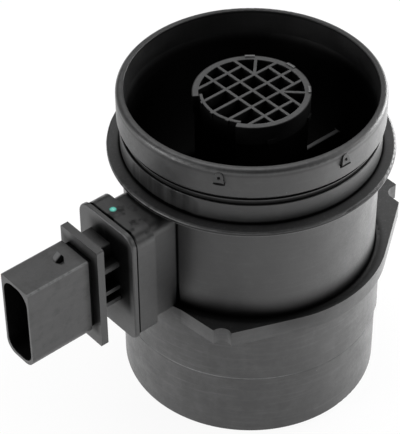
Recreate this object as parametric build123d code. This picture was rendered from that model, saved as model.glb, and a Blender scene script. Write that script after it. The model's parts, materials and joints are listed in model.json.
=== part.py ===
from build123d import *
import os
from math import acos, atan2, cos, hypot, radians, sin

# Hot-film air meter in an engine intake. The air runs down through a round duct,
# along -Z, and part of it through a smaller tube in the middle, where a plug-in
# module measures it. The origin is the centre of the outlet end, +Z points to the
# inlet and the plug points along -X. All sizes are in millimetres.

# ---- Duct housing, turned profile --------------------------------------------
overall_height = 120.8
duct_bore_r = 42.0
barrel_wall = 2.6
skirt_step = 2.25          # slightly larger band under the mounting flange
skirt_bottom_z = 27.0
spigot_step = 0.65
spigot_round = 0.8
outlet_wall = 3.2
outlet_bore_depth = 44.0
bore_taper = 5.0
neck_wall = 3.1
collar_reach = 4.7         # stop collar for the air filter's seal
collar_drop = 22.9         # from the rim down to the collar's upper face
collar_edge = 1.7
collar_round = 0.8
collar_ledge = 3.8         # small ledge under the collar
collar_ledge_height = 1.2
collar_root_round = 0.6
rim_step = 0.9
rim_wall = 2.8
rim_band = 11.8
rim_top_round = 1.6
rim_low_round = 1.2
inlet_land = 9.0
groove_width = 3.3
groove_depth = 0.9
ridge_height = 0.6         # moulded ridge in the groove
ridge_width = 0.35
ridge_drop = 1.5           # from the rim band down to the ridge

# ---- Mounting flange ------------------------------------------------------------
flange_top_z = 54.5
flange_thickness = 6.2
flange_step = 1.05         # the flange is this much wider than the skirt
flange_shift = 2.0         # and its middle lies further from the plug
foot_round = 2.0           # between the flange and the barrel
ear_corner_reach = 6.95    # corner of the two ears beside the plug
ear_corner_angle = 142.0
notch_r = 3.6
ear_end_reach = 11.65      # broad ear opposite the plug
ear_end_half = 15.6
ear_shoulder_reach = 5.2
ear_shoulder_width = 7.8
shoulder_round = 3.8

# ---- Snap noses on the rim band ---------------------------------------------------
nose_angles = (-144.8, -90.8)
nose_width = 3.8
nose_tip_width = 1.2
nose_height = 4.3
nose_proud = 0.9
nose_drop = 1.6            # from the rim down to the nose's tip
nose_pocket_height = 0.7   # slot that the mould's slide leaves under the nose
nose_pocket_depth = 0.6
nose_pin_r = 0.4
nose_pin_drop = 2.2        # from the nose's tip

# ---- Finger of the module, which sets the heights of the well and the plug ----------
finger_height = 26.0
finger_middle_z = 77.0
finger_half = 5.6
finger_past_centre = 9.0
finger_tip_round = 4.0
module_clearance = 0.15

# ---- Inner measuring tube and what carries it -----------------------------------
tube_r = 19.4
tube_wall = 1.6
tube_below_finger = 12.0
tube_recess = 1.7          # the side towards the plug steps in by this much
recess_half_angle = 33.0
fin_thickness = 2.0
fin_rise = 2.4             # above the middle of the finger
sleeve_wall = 1.6

# ---- Flow grid ------------------------------------------------------------------
grid_drop = 2.8            # from the rim down to the grid
grid_skirt_wall = 0.7
grid_clearance = 0.1
grid_band = 2.2
grid_band_depth = 2.0
grid_skirt_depth = 7.0
grid_pitch = 6.45
grid_shift = 0.6
grid_bar = 1.0
grid_bar_depth = 4.0
thin_ring = 1.0
hook_angles = (60.0, -60.0, 112.0, -112.0)
hook_proud = 0.55
hook_width = 3.0
hook_height = 1.6
tab_angles = (50.0, 5.0, -39.5)
tab_half_angle = 5.0
tab_width = 1.0
tab_rise = 0.45

# ---- Module well: the box on the side of the housing -----------------------------
well_reach = 17.4          # from the barrel to the well's front
well_depth = 7.6
well_wall = 4.3            # round the module's root, at the sides
well_wall_top = 4.2
well_wall_low = 6.0
well_top_round = 5.0
well_bottom_round = 3.0
throat_inset = 2.6
throat_top_drop = 1.6
throat_round = 4.4

# ---- Module carrier: plug, cover plate and finger in one moulding ---------------
root_flange = 4.0          # round the finger, at the sides
root_flange_top = 2.2
root_flange_low = 5.6
root_depth = 5.8
cover_thickness = 2.25
cover_overhang = 0.35
cover_top_overhang = 0.7
cover_round = 0.6
seam_width = 0.6
seam_depth = 0.9
stem_length = 8.25
plate_thickness = 2.8
plate_margin = 2.5         # round the shroud, at the sides
plate_margin_top = 4.0
plate_margin_low = 4.6
shroud_half = 7.2
shroud_drop = 5.3          # from the well's top to the shroud's top
shroud_height = 33.4
shroud_length = 26.4
shroud_low_round = 4.6
mouth_wall_side = 0.9
mouth_wall_top = 1.2
mouth_wall_low = 1.3
mouth_round = 5.2
mouth_depth = 21.0
step_width = 1.8
step_inset = 1.0
stem_half = 2.4
stem_lift = 8.8            # from the shroud's underside to the stem's
rib_inset = 0.2
rib_thickness = 1.7
rib_drops = (8.1, 17.8, 22.9)
key_drop = 2.3
key_overhang = 1.2
key_near_y = -1.6
latch_setback = 18.9       # from the shroud's end to the latch's back
latch_length = 2.7
latch_half = 1.75
latch_tip_half = 0.5
latch_rise = 2.0
latch_root = 0.4           # how far it reaches down into the shroud's top

# ---- Chambers in the finger -------------------------------------------------------
chamber_wall = 2.5
chamber_floor = 3.0
chamber_start = 11.0       # from the well's front to the electronics chamber
chamber_length = 27.0
chamber_gap = 4.0
lid_thickness = 1.2
lid_lap = 1.2
lid_clearance = 0.05
bypass_round = 3.0
island_inset = 5.5
port_width = 6.0

# ---- Electronics -------------------------------------------------------------------
board_margin = 0.6
plate_gauge = 1.4          # aluminium base plate
board_gauge = 0.8
tongue_width = 6.0
tongue_reach = 5.0
chip_size = (5.2, 1.1, 6.4)
sensor_chip_size = (2.6, 0.5, 4.2)
capacitor_size = (1.6, 1.0, 2.4)
capacitor_margin = 0.5     # from the board's end
gel_depth = 3.2
terminal_count = 5
terminal_pitch = 5.0
terminal_width = 1.5
terminal_gauge = 0.8
terminal_tip = 1.6
terminal_recess = 8.5      # from the shroud's end to the terminal tips
terminal_overlap = 3.0

# ---- Air temperature sensor ----------------------------------------------------------
lead_r = 0.3
lead_spacing = 2.2
lead_length = 5.0
lead_socket = 1.6
bead_r = 1.25
bead_setback = 17.0        # from the finger's tip

# ---- Paint mark ---------------------------------------------------------------------
mark_r = 1.35
mark_thickness = 0.12
mark_setback = 3.6         # from the well's front
mark_y = 3.0

# ---- Places that follow from the sizes above ------------------------------------------
barrel_r = duct_bore_r + barrel_wall
skirt_r = barrel_r + skirt_step
spigot_r = skirt_r - spigot_step
outlet_bore_r = spigot_r - outlet_wall
neck_r = duct_bore_r + neck_wall
collar_r = neck_r + collar_reach
rim_r = neck_r + rim_step
inlet_bore_r = rim_r - rim_wall
collar_top_z = overall_height - collar_drop
collar_low_z = collar_top_z - collar_edge
band_low_z = overall_height - rim_band
groove_low_z = band_low_z - groove_width
ridge_z = band_low_z - ridge_drop
nose_top_z = overall_height - nose_drop
nose_low_z = nose_top_z - nose_height
nose_pocket_r = rim_r - nose_pocket_depth
flange_low_z = flange_top_z - flange_thickness
flange_r = skirt_r + flange_step
ear_corner_r = skirt_r + ear_corner_reach
ear_end_x = skirt_r + ear_end_reach
ear_shoulder_x = skirt_r + ear_shoulder_reach
ear_shoulder_half = ear_end_half + ear_shoulder_width
finger_top_z = finger_middle_z + finger_height / 2
finger_bottom_z = finger_middle_z - finger_height / 2
root_top_z = finger_top_z + root_flange_top
root_bottom_z = finger_bottom_z - root_flange_low
root_half = finger_half + root_flange
well_top_z = root_top_z + well_wall_top
well_bottom_z = root_bottom_z - well_wall_low
well_half = root_half + well_wall
well_front_x = -(barrel_r + well_reach)
well_back_x = well_front_x + well_depth
throat_half = well_half - throat_inset
throat_top_z = well_top_z - throat_top_drop
cover_front_x = well_front_x - cover_thickness
plate_back_x = cover_front_x - stem_length
plate_front_x = plate_back_x - plate_thickness
shroud_end_x = plate_front_x - shroud_length
shroud_top_z = well_top_z - shroud_drop
shroud_bottom_z = shroud_top_z - shroud_height
plate_half = shroud_half + plate_margin
plate_top_z = shroud_top_z + plate_margin_top
plate_bottom_z = shroud_bottom_z - plate_margin_low
rib_half = shroud_half - rib_inset
tube_bottom_z = finger_bottom_z - tube_below_finger
grid_top_z = overall_height - grid_drop
grid_band_r = tube_r + grid_clearance + grid_skirt_wall
tube_top_z = grid_top_z - grid_band_depth
recess_r = tube_r - tube_recess
chamber_low_x = well_front_x + chamber_start
chamber_high_x = chamber_low_x + chamber_length
bypass_low_x = chamber_high_x + chamber_gap
bypass_high_x = finger_past_centre - chamber_wall
chamber_floor_y = finger_half - chamber_floor
board_back_y = chamber_floor_y - plate_gauge
board_front_y = board_back_y - board_gauge


def block(x0, x1, y0, y1, z0, z1):
    """Box between two corners."""
    return Pos((x0 + x1) / 2, (y0 + y1) / 2, (z0 + z1) / 2) * Box(x1 - x0, y1 - y0, z1 - z0)


def turned(points, radii):
    """Solid of revolution about Z from (radius, height) corners and their roundings."""
    with BuildPart() as part:
        with BuildSketch(Plane.XZ):
            with BuildLine():
                FilletPolyline(*points, radius=radii, close=True)
            make_face()
        revolve(axis=Axis.Z)
    return part.part


def ring(outer, inner, z0, z1):
    """Plain round tube along Z."""
    height = z1 - z0
    tube = Cylinder(outer, height) - Cylinder(inner, height)
    return Pos(0, 0, z0 + height / 2) * tube


def sector(radius, half_angle, z0, z1):
    """Wedge of a disc, opening towards -X."""
    reach = radius / cos(radians(half_angle))
    rise = reach * sin(radians(half_angle))
    outline = Polyline((0, 0), (-radius, rise), (-radius, -rise), close=True)
    return Pos(0, 0, z0) * extrude(make_face(outline), z1 - z0)


def side_slab(x0, x1, half, z0, z1, top_round, low_round):
    """Slab normal to X whose outline in YZ has rounded top and bottom corners."""
    corners = [(-half, z0), (half, z0), (half, z1), (-half, z1)]
    radii = [low_round, low_round, top_round, top_round]
    with BuildPart() as part:
        with BuildSketch(Plane((x0, 0, 0), x_dir=(0, 1, 0), z_dir=(1, 0, 0))):
            with BuildLine():
                FilletPolyline(*corners, radius=radii, close=True)
            make_face()
        extrude(amount=x1 - x0)
    return part.part


# ---- Duct housing ---------------------------------------------------------------------
def duct_shell():
    """Duct wall with its spigot, collar, groove and rim."""
    groove_r = neck_r - groove_depth
    ridge_r = groove_r + ridge_height
    corners = [
        ((outlet_bore_r, 0), 0),
        ((spigot_r, 0), spigot_round),
        ((spigot_r, skirt_bottom_z), 0),
        ((skirt_r, skirt_bottom_z + (skirt_r - spigot_r)), 0),
        ((skirt_r, flange_top_z), 0),
        ((barrel_r, flange_top_z), foot_round),
        ((barrel_r, collar_low_z - collar_ledge_height), 1.0),
        ((barrel_r + collar_ledge, collar_low_z - collar_ledge_height), 0),
        ((barrel_r + collar_ledge, collar_low_z), 0),
        ((collar_r, collar_low_z), 0.3),
        ((collar_r, collar_top_z), collar_round),
        ((neck_r, collar_top_z), collar_root_round),
        ((neck_r, groove_low_z), 0.3),
        ((groove_r, groove_low_z), 0),
        ((groove_r, ridge_z - ridge_width / 2), 0),
        ((ridge_r, ridge_z - ridge_width / 2), 0),
        ((ridge_r, ridge_z + ridge_width / 2), 0),
        ((groove_r, ridge_z + ridge_width / 2), 0),
        ((groove_r, band_low_z), 0),
        ((rim_r, band_low_z), rim_low_round),
        ((rim_r, overall_height), rim_top_round),
        ((inlet_bore_r, overall_height), 0.4),
        ((inlet_bore_r, overall_height - inlet_land), 0),
        ((duct_bore_r, overall_height - inlet_land - bore_taper), 0),
        ((duct_bore_r, outlet_bore_depth + bore_taper), 0),
        ((outlet_bore_r, outlet_bore_depth), 0),
    ]
    return turned([point for point, _ in corners], [radius for _, radius in corners])


def tangent_point(x, y, side):
    """Point where a line from a corner touches the flange's circle."""
    reach = hypot(x - flange_shift, y)
    angle = atan2(y, x - flange_shift) + side * acos(flange_r / reach)
    return (flange_shift + flange_r * cos(angle), flange_r * sin(angle))


def tangent_ear(x, y):
    """Outline of an ear: two lines from a corner, tangent to the flange's circle."""
    points = [tangent_point(x, y, -1), (x, y), tangent_point(x, y, 1), (flange_shift, 0)]
    return make_face(Polyline(*points, close=True))


def broad_ear():
    """Outline of the ear opposite the plug, relieved at both corners for bolt heads."""
    half = [
        tangent_point(ear_shoulder_x, ear_shoulder_half, 1),
        (ear_shoulder_x, ear_shoulder_half),
        (ear_shoulder_x, ear_end_half),
        (ear_end_x, ear_end_half),
    ]
    mirrored = [(x, -y) for x, y in reversed(half)]
    radii = [0, 0.4, shoulder_round, 0.4, 0.4, shoulder_round, 0.4, 0, 0]
    return make_face(FilletPolyline(*half, *mirrored, (flange_shift, 0), radius=radii, close=True))


def mounting_flange():
    """Flange plate with a broad ear opposite the plug and a notched ear each side of it."""
    outline = broad_ear() + Pos(flange_shift, 0) * Circle(flange_r)
    for side in (1, -1):
        angle = radians(side * ear_corner_angle)
        x, y = ear_corner_r * cos(angle), ear_corner_r * sin(angle)
        outline += tangent_ear(x, y)
        outline -= Pos(x, y) * Circle(notch_r)
    outline -= Circle(barrel_r - 1)
    return Pos(0, 0, flange_low_z) * extrude(outline, flange_thickness)


def snap_nose():
    """Pointed ramp on the rim band that an air filter's clip rides over."""
    inside = rim_r - rim_wall / 2
    profile = Polyline(
        (inside, nose_top_z),
        (rim_r, nose_top_z),
        (rim_r + nose_proud, nose_low_z),
        (inside, nose_low_z),
        close=True,
    )
    ramp = extrude(Plane.XZ * make_face(profile), nose_width, both=True)
    outline = Polyline(
        (-nose_width / 2, nose_low_z),
        (nose_width / 2, nose_low_z),
        (nose_tip_width / 2, nose_top_z),
        (-nose_tip_width / 2, nose_top_z),
        close=True,
    )
    return ramp & extrude(Plane.YZ * make_face(outline), 2 * rim_r)


def nose_pocket():
    """Slot under a snap nose and the ejector pin's dent in it."""
    slot = block(nose_pocket_r, rim_r + nose_proud, -nose_width / 2, nose_width / 2,
                 nose_low_z - nose_pocket_height, nose_low_z)
    dent = Rot(0, 90, 0) * Cylinder(nose_pin_r, 2 * (nose_proud + nose_pocket_depth))
    return slot + Pos(rim_r + nose_proud, 0, nose_top_z - nose_pin_drop) * dent


def inner_tube():
    """Measuring tube; its side towards the plug is set in."""
    wall = ring(tube_r, tube_r - tube_wall, tube_bottom_z, tube_top_z)
    cut = sector(tube_r + 1, recess_half_angle, tube_bottom_z, tube_top_z)
    set_in = ring(recess_r, recess_r - tube_wall, tube_bottom_z, tube_top_z)
    lip = sector(tube_r + 1, recess_half_angle + 3, tube_bottom_z, tube_top_z) - cut
    lips = lip & ring(tube_r, recess_r - tube_wall, tube_bottom_z, tube_top_z)
    return (wall - cut) + (set_in & cut) + lips


def tube_fin():
    """Web that carries the measuring tube on the side opposite the plug."""
    web = block(tube_r - 0.8, duct_bore_r + 0.6, -fin_thickness / 2, fin_thickness / 2,
                tube_bottom_z, finger_middle_z + fin_rise)
    return fillet(web.faces().sort_by(Axis.Z)[-1].edges().filter_by(Axis.X), 0.7)


def finger_sleeve():
    """Sheath round the finger, from the duct wall to the measuring tube."""
    half = finger_half + module_clearance + sleeve_wall
    return block(-duct_bore_r - 0.6, -(recess_r - tube_wall / 2), -half, half,
                 finger_bottom_z - module_clearance - sleeve_wall,
                 finger_top_z + module_clearance + sleeve_wall)


def module_well():
    """Box that the module plugs into, and the throat behind it."""
    box = side_slab(well_front_x, well_back_x, well_half, well_bottom_z, well_top_z,
                    well_top_round, well_bottom_round)
    throat = side_slab(well_back_x - 1, -(barrel_r - 8), throat_half, flange_top_z, throat_top_z,
                       throat_round, 0)
    return box + throat - Pos(0, 0, overall_height / 2) * Cylinder(barrel_r - 1, overall_height)


def module_cavity():
    """Room for the module's root and finger."""
    gap = module_clearance
    root = block(well_front_x - 1, well_front_x + root_depth + seal_gauge(), -root_half - gap,
                 root_half + gap, root_bottom_z - gap, root_top_z + gap)
    finger = block(well_front_x, -recess_r / 2, -finger_half - gap, finger_half + gap,
                   finger_bottom_z - gap, finger_top_z + gap)
    return root + finger


def seal_gauge():
    """Thickness of the flat seal between the module's root and the well's floor."""
    return well_depth - root_depth


def duct_housing():
    body = duct_shell() + mounting_flange() + module_well()
    body += inner_tube() + tube_fin() + finger_sleeve()
    for angle in nose_angles:
        turn = Rot(0, 0, angle)
        body = body + turn * snap_nose() - turn * nose_pocket()
    return body - module_cavity()


# ---- Flow grid --------------------------------------------------------------------------
def grid_bars():
    """Crossed bars; the last ones stop at their neighbours."""
    reach = grid_band_r
    low_z = grid_top_z - grid_bar_depth
    half = grid_bar / 2
    last_x = grid_shift + grid_pitch
    bars = []
    for row in (-2, -1, 0, 1, 2):
        end = last_x if abs(row) == 2 else reach
        y = row * grid_pitch
        bars.append(block(-reach, end, y - half, y + half, low_z, grid_top_z))
    for column in (-1, 0, 1, 2):
        end = grid_pitch if column == 2 else reach
        x = grid_shift + column * grid_pitch
        bars.append(block(x - half, x + half, -end, end, low_z, grid_top_z))
    for side in (1, -1):
        spoke = block(0, reach, -half, half, low_z, grid_top_z)
        bars.append(Pos(last_x, side * grid_pitch, 0) * Rot(0, 0, 45 * side) * spoke)
    return bars


def flow_grid():
    """Snap-on grid over the measuring tube, with a skirt that is open towards the plug."""
    band_inner = grid_band_r - grid_band
    fit_r = tube_r + grid_clearance
    low_z = grid_top_z - grid_skirt_depth
    band = ring(grid_band_r, band_inner, tube_top_z, grid_top_z)
    skirt = ring(grid_band_r, fit_r, low_z, grid_top_z)
    opening = sector(grid_band_r + 2, recess_half_angle, low_z - 1, grid_top_z + 1)
    body = band + skirt - opening
    thin_outer = recess_r
    thin = ring(thin_outer, thin_outer - thin_ring, tube_top_z, grid_top_z)
    body += thin & sector(grid_band_r, recess_half_angle + 3, tube_top_z, grid_top_z)
    limit = Pos(0, 0, grid_top_z) * Cylinder(band_inner + 0.15, 4 * grid_bar_depth)
    clear = ring(grid_band_r + 5, recess_r - tube_wall - grid_clearance,
                 tube_top_z - grid_bar_depth, tube_top_z)
    for bar in grid_bars():
        body += (bar & limit) - clear
    for angle in hook_angles:
        hook = block(grid_band_r - 0.3, grid_band_r + hook_proud, -hook_width / 2, hook_width / 2,
                     low_z, low_z + hook_height)
        body += Rot(0, 0, angle) * hook
    rim = ring(grid_band_r, grid_band_r - tab_width, grid_top_z, grid_top_z + tab_rise)
    for angle in tab_angles:
        wedge = sector(grid_band_r + 1, tab_half_angle, grid_top_z, grid_top_z + tab_rise)
        body += rim & (Rot(0, 0, angle + 180) * wedge)
    return body


# ---- Module carrier -----------------------------------------------------------------------
def cover_plate():
    """Plate that closes the well, with a fine groove round its back as the seam."""
    half = well_half + cover_overhang
    top = well_top_z + cover_top_overhang
    low = well_bottom_z - cover_top_overhang
    plate = side_slab(cover_front_x, well_front_x - seam_width, half, low, top,
                      well_top_round, well_bottom_round)
    plate = fillet(plate.faces().sort_by(Axis.X)[0].edges(), cover_round)
    boss = side_slab(well_front_x - seam_width, well_front_x, half - seam_depth, low + seam_depth,
                     top - seam_depth, well_top_round - seam_depth,
                     well_bottom_round - seam_depth)
    return plate + boss


def shroud():
    """Plug socket: flat on top, rounded below, with a stepped root."""
    root_x = plate_front_x - step_width
    shell = side_slab(shroud_end_x, root_x, shroud_half, shroud_bottom_z, shroud_top_z,
                      0.5, shroud_low_round)
    step = side_slab(root_x, plate_front_x, shroud_half - step_inset,
                     shroud_bottom_z + step_inset, shroud_top_z - step_inset,
                     0.5, shroud_low_round - step_inset)
    mouth = side_slab(shroud_end_x, shroud_end_x + mouth_depth, shroud_half - mouth_wall_side,
                      shroud_bottom_z + mouth_wall_low, shroud_top_z - mouth_wall_top,
                      mouth_round, mouth_round - 0.6)
    return shell + step - mouth


def latch():
    """Pointed ramp on top of the shroud that holds the mating plug."""
    back_x = shroud_end_x + latch_setback
    front_x = back_x - latch_length
    root_z = shroud_top_z - latch_root
    profile = Polyline(
        (front_x, root_z),
        (front_x, shroud_top_z),
        (back_x, shroud_top_z + latch_rise),
        (back_x, root_z),
        close=True,
    )
    ramp = extrude(Plane.XZ * make_face(profile), latch_half, both=True)
    shield = Polyline(
        (front_x, latch_tip_half),
        (front_x + latch_length / 3, latch_half),
        (back_x, latch_half),
        (back_x, -latch_half),
        (front_x + latch_length / 3, -latch_half),
        (front_x, -latch_tip_half),
        close=True,
    )
    return ramp & Pos(0, 0, root_z) * extrude(make_face(shield), latch_root + latch_rise)


def stem():
    """Ribbed neck between the plug's flange and the cover plate."""
    x0 = plate_back_x
    x1 = cover_front_x
    key_top = shroud_top_z - key_drop
    low = shroud_bottom_z + stem_lift
    tops = [shroud_top_z - drop for drop in rib_drops]
    neck = block(x0, x1, -stem_half, stem_half, low, key_top)
    key = block(x0, x1, key_near_y, shroud_half + key_overhang, tops[0], key_top)
    neck += fillet(key.faces().sort_by(Axis.Z)[-1].edges().filter_by(Axis.X), 0.8)
    for top in tops:
        neck += block(x0, x1, -rib_half, rib_half, top - rib_thickness, top)
    return neck


def finger_block():
    """Finger that carries the chambers, and the root that centres it in the well."""
    root = block(well_front_x, well_front_x + root_depth, -root_half, root_half,
                 root_bottom_z, root_top_z)
    finger = block(well_front_x, finger_past_centre, -finger_half, finger_half,
                   finger_bottom_z, finger_top_z)
    return root + fillet(finger.faces().sort_by(Axis.X)[-1].edges().filter_by(Axis.Y), finger_tip_round)


def chamber_box(x0, x1, inset, y0, y1):
    """Box in the finger between two stations, inset from its top and bottom."""
    return block(x0, x1, y0, y1, finger_bottom_z + inset, finger_top_z - inset)


def electronics_chamber():
    pocket = chamber_box(chamber_low_x, chamber_high_x, chamber_wall, -finger_half,
                         chamber_floor_y)
    return pocket + lid_seat(chamber_low_x, chamber_high_x)


def lid_seat(x0, x1):
    """Rebate for a lid over a chamber."""
    return chamber_box(x0 - lid_lap, x1 + lid_lap, chamber_wall - lid_lap, -finger_half,
                       lid_thickness - finger_half)


def bypass_chamber():
    """Looped channel past the sensing chip, open to the duct at both ends."""
    pocket = chamber_box(bypass_low_x, bypass_high_x, chamber_wall, -finger_half,
                         chamber_floor_y)
    pocket = fillet(pocket.edges().filter_by(Axis.Y), bypass_round)
    island = chamber_box(bypass_low_x + island_inset, bypass_high_x - island_inset,
                         chamber_wall + island_inset, -finger_half, chamber_floor_y)
    island = fillet(island.edges().filter_by(Axis.Y), bypass_round / 2)
    inlet_x = bypass_high_x - bypass_round - port_width
    inlet = block(inlet_x, inlet_x + port_width, lid_thickness - finger_half + 1, chamber_floor_y,
                  finger_top_z - chamber_wall - 1, finger_top_z + 1)
    outlet_x = bypass_low_x + bypass_round
    outlet = block(outlet_x, outlet_x + port_width, lid_thickness - finger_half + 1,
                   chamber_floor_y, finger_bottom_z - 1, finger_bottom_z + chamber_wall + 1)
    return pocket - island + inlet + outlet + lid_seat(bypass_low_x, bypass_high_x)


def tongue_slot():
    """Slot in the wall between the chambers for the base plate's tongue."""
    return block(chamber_high_x - 1, bypass_low_x + 1, board_back_y, chamber_floor_y,
                 finger_middle_z - tongue_width / 2, finger_middle_z + tongue_width / 2)


def terminal_heights():
    """Heights of the terminals, evenly spaced about the middle of the shroud."""
    middle = (terminal_count - 1) / 2
    return [finger_middle_z + (index - middle) * terminal_pitch for index in range(terminal_count)]


def terminal(height):
    """Flat blade with a tapered tip, from the plug to the circuit board."""
    tip_x = shroud_end_x + terminal_recess
    end_x = chamber_low_x + board_margin + terminal_overlap
    half = terminal_width / 2
    outline = Polyline(
        (tip_x, height - half / 2),
        (tip_x + terminal_tip, height - half),
        (end_x, height - half),
        (end_x, height + half),
        (tip_x + terminal_tip, height + half),
        (tip_x, height + half / 2),
        close=True,
    )
    blade_plane = Plane((0, board_front_y, 0), x_dir=(1, 0, 0), z_dir=(0, -1, 0))
    return extrude(blade_plane * make_face(outline), terminal_gauge)


def lead(side):
    """One wire of the air temperature sensor."""
    z1 = finger_bottom_z + lead_socket
    z0 = finger_bottom_z - lead_length
    lead_x = finger_past_centre - bead_setback
    return Pos(lead_x, side * lead_spacing / 2, (z0 + z1) / 2) * Cylinder(lead_r, z1 - z0)


def sensor_carrier():
    plate = side_slab(plate_front_x, plate_back_x, plate_half, plate_bottom_z, plate_top_z, 0.6, 0.6)
    body = cover_plate() + shroud() + latch() + plate + stem() + finger_block()
    body -= electronics_chamber() + bypass_chamber() + tongue_slot()
    for height in terminal_heights():
        body -= terminal(height)
    for side in (1, -1):
        body -= lead(side)
    return body


# ---- Seal, lids and electronics ---------------------------------------------------------
def module_seal():
    """Flat ring between the module's root and the floor of the well."""
    x0 = well_front_x + root_depth
    x1 = well_back_x
    outer = block(x0, x1, -root_half, root_half, root_bottom_z, root_top_z)
    gap = module_clearance
    inner = block(x0, x1, -finger_half - gap, finger_half + gap, finger_bottom_z - gap,
                  finger_top_z + gap)
    outer = fillet(outer.edges().filter_by(Axis.X), 1.5)
    return outer - inner


def lid(x0, x1):
    """Lid that fills the rebate of a chamber, flush with the finger's side."""
    inset = chamber_wall - lid_lap + lid_clearance
    return chamber_box(x0 - lid_lap + lid_clearance, x1 + lid_lap - lid_clearance, inset,
                       -finger_half, lid_thickness - finger_half)


def base_plate():
    """Aluminium plate under the board, with a tongue that carries the sensing chip."""
    inset = chamber_wall + board_margin
    plate = chamber_box(chamber_low_x + board_margin, chamber_high_x - board_margin, inset,
                        board_back_y, chamber_floor_y)
    tongue = block(chamber_high_x - board_margin, bypass_low_x + tongue_reach, board_back_y,
                   chamber_floor_y, finger_middle_z - tongue_width / 2, finger_middle_z + tongue_width / 2)
    return plate + tongue


def circuit_board():
    inset = chamber_wall + board_margin
    return chamber_box(chamber_low_x + board_margin, chamber_high_x - board_margin, inset,
                       board_front_y, board_back_y)


def on_board(size, x, z):
    """Component that stands on the board's face."""
    width, height, length = size
    return block(x - width / 2, x + width / 2, board_front_y - height, board_front_y,
                 z - length / 2, z + length / 2)


def signal_chip():
    return on_board(chip_size, (chamber_low_x + chamber_high_x) / 2, finger_middle_z)


def capacitor(side):
    """Capacitor at the board's upper or lower end."""
    x = (chamber_low_x + chamber_high_x) / 2
    reach = finger_height / 2 - chamber_wall - board_margin - capacitor_margin
    return on_board(capacitor_size, x, finger_middle_z + side * (reach - capacitor_size[2] / 2))


def sensor_chip():
    """Silicon chip with the hot film, on the tongue in the bypass channel."""
    width, height, length = sensor_chip_size
    x = bypass_low_x + tongue_reach - width
    return block(x - width / 2, x + width / 2, board_back_y - height, board_back_y,
                 finger_middle_z - length / 2, finger_middle_z + length / 2)


def gel_fill(inside):
    """Soft gel over the board, moulded round what stands on it."""
    gel = chamber_box(chamber_low_x, chamber_high_x, chamber_wall, board_front_y - gel_depth,
                      board_front_y)
    for piece in inside:
        gel -= piece
    return gel


def thermistor_bead():
    place = Pos(finger_past_centre - bead_setback, 0, finger_bottom_z - lead_length)
    bead = place * Rot(90, 0, 0) * Cylinder(bead_r, lead_spacing + 2 * bead_r)
    bead = fillet(bead.edges(), 0.9 * bead_r)
    return bead - lead(1) - lead(-1)


def paint_mark():
    place = Pos(well_front_x + mark_setback, mark_y, well_top_z + mark_thickness / 2)
    return place * Cylinder(mark_r, mark_thickness)


def all_parts():
    """Every piece of the air meter by name."""
    chip = signal_chip()
    capacitors = {"capacitor_upper": capacitor(1), "capacitor_lower": capacitor(-1)}
    terminals = {f"terminal_{index + 1}": terminal(height)
                 for index, height in enumerate(terminal_heights())}
    inside = [chip, *capacitors.values(), *terminals.values()]
    return {
        "duct_housing": duct_housing(),
        "flow_grid": flow_grid(),
        "sensor_carrier": sensor_carrier(),
        "module_seal": module_seal(),
        "electronics_lid": lid(chamber_low_x, chamber_high_x),
        "bypass_lid": lid(bypass_low_x, bypass_high_x),
        "base_plate": base_plate(),
        "circuit_board": circuit_board(),
        "signal_chip": chip,
        **capacitors,
        "sensor_chip": sensor_chip(),
        "gel_fill": gel_fill(inside),
        "thermistor_bead": thermistor_bead(),
        "thermistor_lead_left": lead(1),
        "thermistor_lead_right": lead(-1),
        **terminals,
        "paint_mark": paint_mark(),
    }


os.makedirs("parts", exist_ok=True)
for name, shape in all_parts().items():
    export_step(shape, f"parts/{name}.step")
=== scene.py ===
"""Looks of a hot-film air meter for an engine intake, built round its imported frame.

All lengths are metres in the frame of the solids: +Z runs up the duct to the inlet, -X points
to the plug, and the origin is the centre of the duct's outlet end.
"""

import json
import logging
import math
from dataclasses import dataclass, field
from enum import Enum
from typing import Any, Iterable, Optional, Sequence, Union

import bmesh
import bpy
from mathutils import Matrix, Vector


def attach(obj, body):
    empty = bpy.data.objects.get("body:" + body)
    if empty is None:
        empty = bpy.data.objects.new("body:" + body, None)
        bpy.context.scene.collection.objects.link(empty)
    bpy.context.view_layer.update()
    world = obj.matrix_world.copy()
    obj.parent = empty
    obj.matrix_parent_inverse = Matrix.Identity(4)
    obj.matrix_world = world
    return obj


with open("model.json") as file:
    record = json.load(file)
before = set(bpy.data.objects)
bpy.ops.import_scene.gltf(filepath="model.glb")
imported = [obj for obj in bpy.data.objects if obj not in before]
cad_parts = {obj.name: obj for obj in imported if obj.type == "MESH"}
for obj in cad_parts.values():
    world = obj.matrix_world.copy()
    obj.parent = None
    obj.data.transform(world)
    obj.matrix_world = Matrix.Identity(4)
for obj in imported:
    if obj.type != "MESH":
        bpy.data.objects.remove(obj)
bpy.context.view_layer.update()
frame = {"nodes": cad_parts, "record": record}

MM = 0.001
LOG = logging.getLogger("air_meter")

# Directions of the snap noses from the duct's axis, in degrees from +X.
NOSE_ANGLES = {"snap_nose_front": -144.8, "snap_nose_side": -90.8}


def put(name: str, data: Any) -> bpy.types.Object:
    """Puts a new object into the scene.

    Args:
        name: Name of the object.
        data: Its mesh, lamp or camera.

    Returns:
        The object, at the origin.
    """
    made = bpy.data.objects.new(name, data)
    bpy.context.scene.collection.objects.link(made)
    return made

Colour = tuple[float, float, float]
Number = Union[int, float]


# ---- Nodes written as sums ------------------------------------------------------------


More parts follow.
